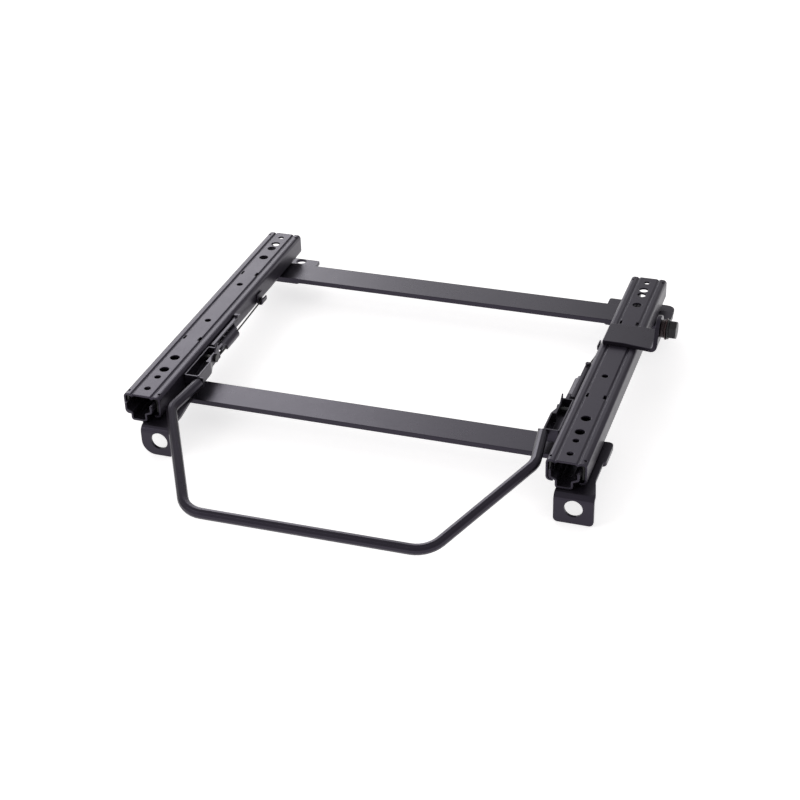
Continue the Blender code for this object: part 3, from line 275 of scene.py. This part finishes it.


# Painted highlight: a mask for the lighter grey that is painted along the edges.
def painted_edge_highlight(tree, edge, clouds):
    """Where a lighter grey is painted on as highlight: 0 on a flat face and up to 1 on an edge."""
    face = add_node(tree, "ShaderNodeNewGeometry")
    likeness = add_node(tree, "ShaderNodeVectorMath", operation="DOT_PRODUCT")
    tree.links.new(face.outputs["Normal"], likeness.inputs[0])
    tree.links.new(edge.outputs["Normal"], likeness.inputs[1])
    limits = {"From Min": FLAT_LIKENESS, "From Max": EDGE_LIKENESS}
    edge_nearness = add_node(tree, "ShaderNodeMapRange", limits)
    tree.links.new(likeness.outputs["Value"], edge_nearness.inputs["Value"])
    limits = {"From Min": PATCH_START, "From Max": PATCH_END, "To Min": LEAST_PATCH}
    patchy = add_node(tree, "ShaderNodeMapRange", limits)
    tree.links.new(clouds, patchy.inputs["Value"])
    painted_highlight = add_node(tree, "ShaderNodeMath", operation="MULTIPLY")
    tree.links.new(edge_nearness.outputs["Result"], painted_highlight.inputs[0])
    tree.links.new(patchy.outputs["Result"], painted_highlight.inputs[1])
    return painted_highlight.outputs[0]


print("wear starts at", round(math.degrees(math.acos(FLAT_LIKENESS))), "degrees off the true face")

# %% [markdown]
# ## Colour of the coat
# Two near-black colours alternate with the clouds, which is hardly seen as colour but keeps a wide
# face from looking like plastic. Along the edges the mix goes over to a lighter grey, a painted
# highlight.

# %% Colour of the coat
# Painted highlight: the lighter grey that is painted along the edges.
PAINTED_EDGE_GREY = (0.11, 0.11, 0.12)


def coat_colour(tree, base, cloud, clouds, painted_highlight):
    """The coat's two colours by clouds, and a lighter grey painted on the edges as a highlight."""
    colours = {"A": (*base, 1.0), "B": (*cloud, 1.0)}
    tint = add_node(tree, "ShaderNodeMix", colours, data_type="RGBA")
    tree.links.new(clouds, tint.inputs["Factor"])
    # Along the edges the colour goes over to the painted highlight grey.
    highlighted = add_node(tree, "ShaderNodeMix", {"B": (*PAINTED_EDGE_GREY, 1.0)}, data_type="RGBA")
    tree.links.new(tint.outputs["Result"], highlighted.inputs["A"])
    tree.links.new(painted_highlight, highlighted.inputs["Factor"])
    return highlighted.outputs["Result"]


print("thin paint is", PAINTED_EDGE_GREY)

# %% [markdown]
# ## Sheen of the coat
# The roughness wanders a little about its middle value. Clouds alone would look like stains, so a
# second, finer noise is added to them before the sum is mapped to a narrow band of roughness.

# %% Sheen of the coat
SPECK_SCALE = 420.0
SPECK_DETAIL = 3.0
SHEEN_START = 0.6
SHEEN_END = 1.4
SHEEN_SPREAD = 0.045


def coat_sheen(tree, place, clouds, roughness):
    """Roughness that changes with the clouds and with fine specks."""
    specks = noise(tree, place, SPECK_SCALE, SPECK_DETAIL)
    total = add_node(tree, "ShaderNodeMath", operation="ADD")
    tree.links.new(clouds, total.inputs[0])
    tree.links.new(specks, total.inputs[1])
    limits = {
        "From Min": SHEEN_START,
        "From Max": SHEEN_END,
        "To Min": roughness - SHEEN_SPREAD,
        "To Max": roughness + SHEEN_SPREAD,
    }
    spread = add_node(tree, "ShaderNodeMapRange", limits)
    tree.links.new(total.outputs[0], spread.inputs["Value"])
    return spread.outputs["Result"]


print("a speck is about", round(1.0 / SPECK_SCALE / MM, 1), "mm wide")

# %% [markdown]
# ## Peel of the coat
# Paint that flows out over sheet steel dries with a very shallow dimpled surface, the orange peel. A
# Bump node makes it from noise. It takes the rounded edges as its starting normal, so both show.

# %% Peel of the coat
PEEL_DETAIL = 2.0
PEEL_DEPTH = 0.1 * MM


def coat_peel(tree, place, edge, peel_mm, peel_height):
    """A normal with rounded edges and with dimples of the given width."""
    dimples = noise(tree, place, 1.0 / (peel_mm * MM), PEEL_DETAIL)
    bump = add_node(tree, "ShaderNodeBump", {"Strength": peel_height, "Distance": PEEL_DEPTH})
    tree.links.new(dimples, bump.inputs["Height"])
    tree.links.new(edge.outputs["Normal"], bump.inputs["Normal"])
    return bump.outputs["Normal"]


print("the peel is", PEEL_DEPTH / MM, "mm deep at full height")

# %% [markdown]
# ## The recipe
# One recipe puts the four together: painted edge highlight, colour, sheen and peel. A value that is
# the same all over the surface, such as how metallic it is, goes straight onto the shader's own socket.

# %% The recipe
EDGE_RADIUS = 0.6 * MM
EDGE_SAMPLES = 6
PLAIN_GLOSS = (1.0, 1.0, 1.0)


def coated_steel(name, base, cloud, roughness, peel_mm, peel_height, metallic=0.0, gloss=PLAIN_GLOSS):
    """Painted or plated steel with clouds in colour and sheen, painted edge highlights and orange peel.
    """
    material = bpy.data.materials.new(name)
    material.use_nodes = True
    tree = material.node_tree
    shader = tree.nodes["Principled BSDF"]
    shader.inputs["Metallic"].default_value = metallic
    shader.inputs["Specular Tint"].default_value = (*gloss, 1.0)
    place = add_node(tree, "ShaderNodeTexCoord")
    edge = add_node(tree, "ShaderNodeBevel", {"Radius": EDGE_RADIUS}, samples=EDGE_SAMPLES)
    clouds = noise(tree, place, CLOUD_SCALE, CLOUD_DETAIL, CLOUD_ROUGHNESS)
    # The mask of the painted edge highlight.
    painted_highlight = painted_edge_highlight(tree, edge, clouds)
    colour = coat_colour(tree, base, cloud, clouds, painted_highlight)
    sheen = coat_sheen(tree, place, clouds, roughness)
    peel = coat_peel(tree, place, edge, peel_mm, peel_height)
    tree.links.new(colour, shader.inputs["Base Color"])
    tree.links.new(sheen, shader.inputs["Roughness"])
    tree.links.new(peel, shader.inputs["Normal"])
    return material


print("paint recipe ready, edges", EDGE_RADIUS / MM, "mm")

# %% [markdown]
# ## Paint finishes
# The upper rails are in a slightly rougher paint than the lower rails, straps, feet and handle. The
# gloss of both leans to violet, as the photograph shows where the black mirrors the studio. Specular
# Tint does that, and leaves the paint's own colour black.

# %% Paint finishes
PAINT_GLOSS = (0.82, 0.735, 1.0)

rail_paint = coated_steel(
    "rail_paint_fine",
    base=(0.013, 0.011, 0.016),
    cloud=(0.020, 0.017, 0.024),
    roughness=0.33,
    peel_mm=1.1,
    peel_height=0.10,
    gloss=PAINT_GLOSS,
)
black_paint = coated_steel(
    "black_paint_fine",
    base=(0.007, 0.006, 0.008),
    cloud=(0.012, 0.010, 0.014),
    roughness=0.30,
    peel_mm=1.3,
    peel_height=0.10,
    gloss=PAINT_GLOSS,
)
print("paints:", rail_paint.name, black_paint.name)

# %% [markdown]
# ## Plated finishes
# The fasteners, wires and spring turns have a thin dark plating over steel, so they are part metallic
# and not fully so. The recipe for paint serves them too: a plating also has a slightly uneven surface,
# and the recipe paints the same lighter highlight on their edges. The turns are browner, from the heat
# treatment of spring steel.

# %% Plated finishes
fastener_coat = coated_steel(
    "fastener_coat",
    base=(0.016, 0.016, 0.018),
    cloud=(0.034, 0.033, 0.034),
    roughness=0.36,
    peel_mm=0.8,
    peel_height=0.25,
    metallic=0.5,
)
wire_coat = coated_steel(
    "wire_coat",
    base=(0.020, 0.019, 0.018),
    cloud=(0.050, 0.046, 0.042),
    roughness=0.34,
    peel_mm=0.6,
    peel_height=0.20,
    metallic=0.7,
)
spring_coat = coated_steel(
    "spring_coat",
    base=(0.030, 0.012, 0.014),
    cloud=(0.060, 0.026, 0.026),
    roughness=0.34,
    peel_mm=0.6,
    peel_height=0.20,
    metallic=0.4,
)
print("platings:", fastener_coat.name, wire_coat.name, spring_coat.name)

# %% [markdown]
# ## Bearing finishes
# The balls are bright bearing steel and run in cages of black nylon. Both are all but hidden in the
# rails, so the same recipe is enough for them: fully metallic and smooth for the balls, and rough with
# a fine grain for the nylon.

# %% Bearing finishes
bearing_steel = coated_steel(
    "bearing_steel_fine",
    base=(0.50, 0.51, 0.52),
    cloud=(0.60, 0.61, 0.62),
    roughness=0.20,
    peel_mm=0.5,
    peel_height=0.10,
    metallic=1.0,
)
nylon = coated_steel(
    "nylon_fine",
    base=(0.012, 0.012, 0.012),
    cloud=(0.022, 0.021, 0.020),
    roughness=0.46,
    peel_mm=0.6,
    peel_height=0.20,
)
print("materials:", len(bpy.data.materials))

# %% [markdown]
# ## Dress the nodes
# Each node of the frame names the slot that its finish belongs to. A table from slot to finish and one
# loop dress all the nodes, which leaves no node forgotten and no choice made twice. The wave washer is
# of spring steel, so it alone is dressed once more, in the brownish coat of the spring collar.

# %% Dress the nodes
finish_of_slot = {
    "black_paint": black_paint,
    "rail_paint": rail_paint,
    "dark_fastener": fastener_coat,
    "spring_wire": wire_coat,
    "bearing_steel": bearing_steel,
    "nylon": nylon,
}
slot_of_node = {part["node"]: part["material_slot"] for part in frame["record"]["subparts"]}


def dress(node, finish):
    """Put one finish on every material slot of a node."""
    for slot in node.material_slots:
        slot.material = finish


for name, node in nodes.items():
    dress(node, finish_of_slot[slot_of_node[name]])
dress(nodes["belt_wave_washer"], spring_coat)
print("dressed", len(nodes), "nodes")

# %% [markdown]
# ## Rolled edges
# Sheet that was punched and bent has no sharp edge left: the die rolls it over by a few tenths of a
# millimetre. A Weld modifier joins the split corners of the imported solids, a planar Decimate merges
# their flat triangles into whole faces, and a Bevel with an angle limit then rounds the true edges
# alone. Its overlap clamp is off, because the short sides of the holes would shrink every edge to
# nothing. On the lock plates, levers, latch brackets and rear feet such a bevel made spikes, gaps or a
# larger box, so they keep sharp edges and only their paint rounds them. The CAD meshes stay as they
# are, because the modifiers are live.

# %% Rolled edges
WELD_REACH = 0.001 * MM
FLAT_ANGLE = math.radians(0.5)
ROLLED_EDGE = 0.35 * MM
ROLLED_STEPS = 2
EDGE_ANGLE = math.radians(50.0)
SHEET_WORDS = ("front_left_foot", "front_right_foot", "_strap", "belt_bracket", "_rail_", "spring_hook")

punched = [name for name in nodes if any(word in name for word in SHEET_WORDS)]
for name in punched:
    weld = nodes[name].modifiers.new("weld", "WELD")
    weld.merge_threshold = WELD_REACH
    whole = nodes[name].modifiers.new("whole_faces", "DECIMATE")
    whole.decimate_type = "DISSOLVE"
    whole.angle_limit = FLAT_ANGLE
    rolled = nodes[name].modifiers.new("rolled_edge", "BEVEL")
    rolled.width = ROLLED_EDGE
    rolled.segments = ROLLED_STEPS
    rolled.limit_method = "ANGLE"
    rolled.use_clamp_overlap = False
    rolled.angle_limit = EDGE_ANGLE
print("rolled edges on", punched)

# %% [markdown]
# ## Helpers for turned pieces
# The two new pieces, the belt bolt and its collar, start as cylinders along X, with six sides or with
# many. An operator acts on all that is selected, so the first helper selects one piece and nothing
# else. Applying the cylinder's turn and place leaves its object at the origin, as the CAD nodes are.

# %% Helpers for turned pieces
ROUND_SIDES = 48


def only(piece):
    """Select one piece alone and make it active."""
    bpy.ops.object.select_all(action="DESELECT")
    piece.select_set(True)
    bpy.context.view_layer.objects.active = piece


def rod(name, sides, radius, start, end, axis):
    """A closed cylinder along X between two places."""
    bpy.ops.mesh.primitive_cylinder_add(
        vertices=sides,
        radius=radius,
        depth=end - start,
        location=((start + end) / 2, axis.y, axis.z),
        rotation=(0.0, math.pi / 2, 0.0),
    )
    bpy.ops.object.transform_apply(location=True, rotation=True, scale=True)
    piece = bpy.context.object
    piece.name = name
    return piece


print("round pieces have", ROUND_SIDES, "sides")

# %% [markdown]
# ## Grow a cap
# Extruding the end cap of a cylinder and scaling the new cap gives a cone or a ridge, as a lathe tool
# would. The cap's faces are found by their place, which works however the piece was made before.

# %% Grow a cap
CAP_REACH = 0.01 * MM


def grow_cap(piece, step, share):
    """Extrude the cap at the high end along X and scale the new cap."""
    only(piece)
    corners = [vertex.co for vertex in piece.data.vertices]
    end = max(corner.x for corner in corners)
    middle_y = sum(corner.y for corner in corners) / len(corners)
    middle_z = sum(corner.z for corner in corners) / len(corners)
    bpy.ops.object.mode_set(mode="EDIT")
    bpy.ops.mesh.select_all(action="DESELECT")
    bpy.ops.object.mode_set(mode="OBJECT")
    for face in piece.data.polygons:
        face.select = abs(face.center.x - end) < CAP_REACH
    bpy.ops.object.mode_set(mode="EDIT")
    bpy.ops.mesh.select_mode(type="FACE")
    bpy.ops.mesh.extrude_region_move(TRANSFORM_OT_translate={"value": (step, 0.0, 0.0)})
    bpy.ops.transform.resize(value=(1.0, share, share), center_override=(end + step, middle_y, middle_z))
    bpy.ops.object.mode_set(mode="OBJECT")


print("caps are found within", CAP_REACH / MM, "mm")

# %% [markdown]
# ## Combine and coat
# A Boolean keeps what two pieces share, adds one to the other or cuts one out of the other. Its result
# has hard edges and soft rounds, so it is shaded smooth only where two faces meet at a small angle.

# %% Combine and coat
SMOOTH_ANGLE = math.radians(30.0)


def combine(piece, other, operation):
    """Apply a Boolean with another piece, which is then used up."""
    only(piece)
    boolean = piece.modifiers.new("shape", "BOOLEAN")
    boolean.operation = operation
    boolean.object = other
    bpy.ops.object.modifier_apply(modifier="shape")
    bpy.data.objects.remove(other)


def coat(piece, finish):
    """Shade a new piece smooth between its edges and give it one finish."""
    only(piece)
    bpy.ops.object.shade_smooth_by_angle(angle=SMOOTH_ANGLE)
    piece.data.materials.clear()
    piece.data.materials.append(finish)


print("smooth below", round(math.degrees(SMOOTH_ANGLE)), "degrees")

# %% [markdown]
# ## Belt bolt sizes
# The belt bolt is a forged hexagon screw. After forging, the rim of its head is turned to a shallow
# cone, so each of the six flats ends in an arc. All places come from the boxes of the CAD nodes: the
# hexagon stands on a corner, so its box is as high as the corners and as wide as the flats.

# %% Belt bolt sizes
SEAT_GAP = 0.3 * MM
CONE_ANGLE = math.radians(30.0)
FACE_SHARE = 0.95
BLANK_OVERSIZE = 1.02

bolt_low, bolt_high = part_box("belt_bolt")
bolt_axis = (bolt_low + bolt_high) / 2
corner_radius = (bolt_high.z - bolt_low.z) / 2
flat_radius = (bolt_high.y - bolt_low.y) / 2
head_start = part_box("belt_plain_washer")[1].x + SEAT_GAP
face_radius = FACE_SHARE * flat_radius
blank_radius = BLANK_OVERSIZE * corner_radius
cone_rise = (blank_radius - face_radius) * math.tan(CONE_ANGLE)
print("head", round(2 * flat_radius / MM, 1), "mm across flats, cone", round(cone_rise / MM, 2), "mm")

# %% [markdown]
# ## Belt bolt
# Bevelling the hexagon would give six straight chamfers, where the real head has arcs. So the hexagon
# is cut with a round blank that has the cone on it: growing the blank's cap makes the cone, and a
# Boolean keeps what the two share. The shank is joined on last. The blank starts a millimetre behind
# the head and the shank reaches a millimetre into it, so neither shares a plane with the head's back.

# %% Belt bolt
HEX_SIDES = 6
SHANK_RADIUS = 5.0 * MM
OVERLAP = 1.0 * MM

bolt_head = rod("bolt_head", HEX_SIDES, corner_radius, head_start, bolt_high.x, bolt_axis)
only(bolt_head)
bpy.ops.object.mode_set(mode="EDIT")
bpy.ops.mesh.select_all(action="SELECT")
bpy.ops.transform.rotate(value=math.pi / 2, orient_axis="X", center_override=bolt_axis)
bpy.ops.object.mode_set(mode="OBJECT")
blank = rod("blank", ROUND_SIDES, blank_radius, head_start - OVERLAP, bolt_high.x - cone_rise, bolt_axis)
grow_cap(blank, cone_rise, face_radius / blank_radius)
combine(bolt_head, blank, "INTERSECT")
shank = rod("shank", ROUND_SIDES, SHANK_RADIUS, bolt_low.x, head_start + OVERLAP, bolt_axis)
combine(bolt_head, shank, "UNION")
coat(bolt_head, fastener_coat)
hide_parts("belt_bolt")
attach(bolt_head, "carriage")
print("bolt:", len(bolt_head.data.polygons), "faces")

# %% [markdown]
# ## Spring collar
# Between the ear and the washers the photograph shows a few dark, brownish ribs. They are taken for
# the turns of a short, stiff spring, and at this size they read as rings. A Screw modifier would make
# a true helix, whose open ends would have to be closed. Rings are simpler: the end cap is extruded half
# a turn and scaled up, then half a turn more and scaled back down, for each of the turns. A Boolean
# with a rod opens the bore at the end.

# %% Spring collar
TURNS = 4
TURN_DEPTH = 0.55 * MM
BORE_AIR = 0.3 * MM

collar_low, collar_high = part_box("belt_collar")
collar_axis = (collar_low + collar_high) / 2
crest = (collar_high.z - collar_low.z) / 2
root = crest - TURN_DEPTH
half_turn = (collar_high.x - collar_low.x) / (2 * TURNS + 1)
collar = rod("spring_collar", ROUND_SIDES, root, collar_low.x, collar_low.x + half_turn, collar_axis)
for _ in range(TURNS):
    grow_cap(collar, half_turn, crest / root)
    grow_cap(collar, half_turn, root / crest)
bore_start = collar_low.x - OVERLAP
bore_end = collar_high.x + OVERLAP
bore = rod("bore", ROUND_SIDES, SHANK_RADIUS + BORE_AIR, bore_start, bore_end, collar_axis)
combine(collar, bore, "DIFFERENCE")
coat(collar, spring_coat)
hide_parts("belt_collar")
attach(collar, "carriage")
print("collar:", TURNS, "turns,", len(collar.data.polygons), "faces")
